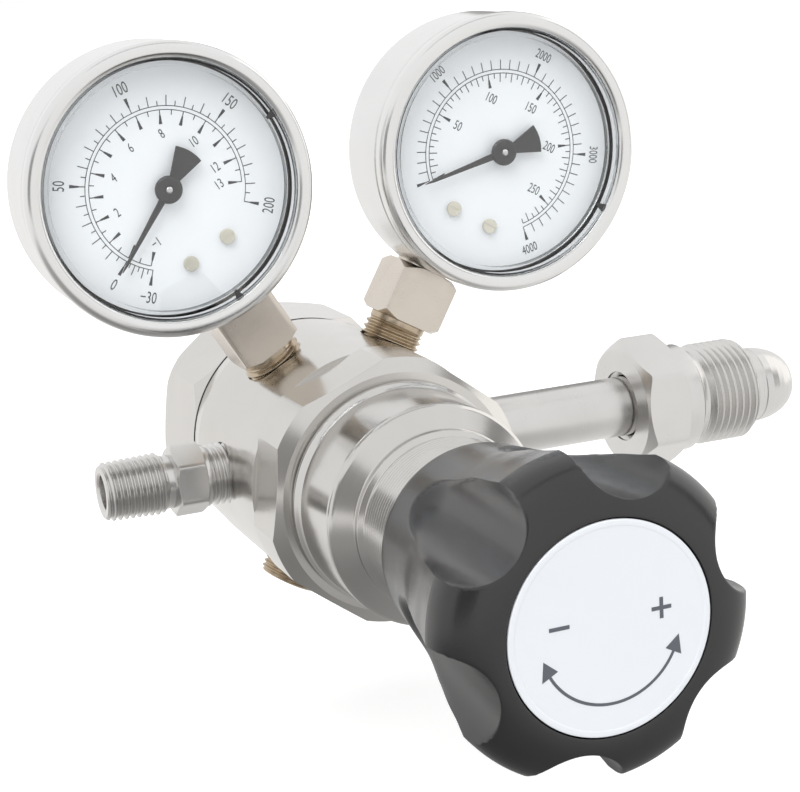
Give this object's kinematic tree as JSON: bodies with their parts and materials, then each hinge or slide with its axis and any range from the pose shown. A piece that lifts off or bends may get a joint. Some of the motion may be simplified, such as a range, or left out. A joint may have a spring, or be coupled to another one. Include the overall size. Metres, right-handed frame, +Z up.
{
  "type": "gas regulator",
  "caption": "Two-stage gas regulator: polished body with lobed control knob, dial gauges on angled stems, threaded outlet and cylinder inlet nut.",
  "frame": {"origin": "on the inlet axis, inside the thread of the inlet nut, 100 mm from the point where the ports meet", "axes": "+X out of the inlet towards the cylinder valve, -Y along the control knob's axis towards the user, +Z up between the gauges"},
  "size_m": [0.1864, 0.181, 0.1262],
  "materials": {
    "polished_steel": "polished stainless bar stock",
    "satin_steel": "turned and milled stainless",
    "spring_steel": "spring wire",
    "tinted_metal": "warm tinted socket metal",
    "brass": "plain machined brass",
    "black_plastic": "satin moulded plastic",
    "label": "plain silver-white disc",
    "dial_white": "white painted aluminium",
    "pointer_black": "black painted aluminium",
    "clear": "clear window"
  },
  "bodies": {
    "regulator": {"body": "polished_steel", "rear_cap": "satin_steel", "bonnet": "polished_steel", "front_diaphragm": "spring_steel", "range_spring": "spring_steel", "front_seat": "brass", "front_poppet_spring": "spring_steel", "rear_diaphragm": "spring_steel", "rear_spring": "spring_steel", "rear_set_screw": "satin_steel", "rear_seat": "brass", "rear_poppet_spring": "spring_steel", "inlet_nipple": "polished_steel", "inlet_filter": "tinted_metal", "outlet_nipple": "satin_steel", "port_plug": "brass", "left_case": "polished_steel", "left_bezel": "polished_steel", "left_window": "clear", "left_dial": "dial_white", "left_dial_screws": "brass", "left_socket": "tinted_metal", "left_bourdon_tube": "brass", "left_movement_frame": "brass", "right_case": "polished_steel", "right_bezel": "polished_steel", "right_window": "clear", "right_dial": "dial_white", "right_dial_screws": "brass", "right_socket": "tinted_metal", "right_bourdon_tube": "brass", "right_movement_frame": "brass"},
    "button": {"spring_button": "brass", "thrust_ball": "polished_steel"},
    "knob_and_screw": {"adjusting_screw": "satin_steel", "knob": "black_plastic", "knob_insert": "brass", "knob_label": "label"},
    "front_valve": {"front_plate": "satin_steel", "front_poppet": "satin_steel"},
    "rear_valve": {"rear_plate": "satin_steel", "rear_poppet": "satin_steel"},
    "inlet_nut": {"inlet_nut": "satin_steel"},
    "left_pointer": {"left_pointer": "pointer_black"},
    "left_sector": {"left_sector": "brass"},
    "left_link": {"left_link": "satin_steel"},
    "right_pointer": {"right_pointer": "pointer_black"},
    "right_sector": {"right_sector": "brass"},
    "right_link": {"right_link": "satin_steel"}
  },
  "joints": [
    {"name": "button_slide", "type": "slide", "parent": "regulator", "child": "button", "axis": [0, 1, 0], "range_m": [0, 0.01], "deforming": ["range_spring"]},
    {"name": "knob_turn", "type": "hinge", "parent": "button", "child": "knob_and_screw", "pos_m": [-0.1, -0.1, 0], "axis": [0, 1, 0], "range_deg": [0, 2400]},
    {"name": "front_valve_lift", "type": "slide", "parent": "regulator", "child": "front_valve", "axis": [0, 1, 0], "range_m": [0, 0.0006], "stiffness_N_per_m": 400, "deforming": ["front_diaphragm", "front_poppet_spring"]},
    {"name": "rear_valve_lift", "type": "slide", "parent": "regulator", "child": "rear_valve", "axis": [0, -1, 0], "range_m": [0, 0.0005], "stiffness_N_per_m": 400, "deforming": ["rear_diaphragm", "rear_poppet_spring", "rear_spring"]},
    {"name": "inlet_nut_spin", "type": "hinge", "parent": "regulator", "child": "inlet_nut", "pos_m": [-0.01, 0, 0], "axis": [1, 0, 0], "continuous": true},
    {"name": "left_sector_swing", "type": "hinge", "parent": "regulator", "child": "left_sector", "pos_m": [-0.13105, 0, 0.05378], "axis": [0, 1, 0], "range_deg": [-41.67, 3.33]},
    {"name": "left_pointer_turn", "type": "hinge", "parent": "regulator", "child": "left_pointer", "pos_m": [-0.13805, 0, 0.0659], "axis": [0, 1, 0], "range_deg": [-20, 250]},
    {"name": "left_link_swing", "type": "hinge", "parent": "left_sector", "child": "left_link", "pos_m": [-0.12905, 0, 0.05032], "axis": [0, 1, 0], "range_deg": [-3.33, 41.67]},
    {"name": "right_sector_swing", "type": "hinge", "parent": "regulator", "child": "right_sector", "pos_m": [-0.06895, 0, 0.05378], "axis": [0, 1, 0], "range_deg": [-45, 0]},
    {"name": "right_pointer_turn", "type": "hinge", "parent": "regulator", "child": "right_pointer", "pos_m": [-0.06195, 0, 0.0659], "axis": [0, 1, 0], "range_deg": [0, 270]},
    {"name": "right_link_swing", "type": "hinge", "parent": "right_sector", "child": "right_link", "pos_m": [-0.07095, 0, 0.05032], "axis": [0, 1, 0], "range_deg": [0, 45]}
  ],
  "couplings": [
    {"joint": "knob_turn", "follows": "button_slide", "rad_per_m": 4188.8},
    {"joint": "left_pointer_turn", "follows": "left_sector_swing", "ratio": -6},
    {"joint": "left_link_swing", "follows": "left_sector_swing", "ratio": -1},
    {"joint": "right_pointer_turn", "follows": "right_sector_swing", "ratio": -6},
    {"joint": "right_link_swing", "follows": "right_sector_swing", "ratio": -1}
  ]
}
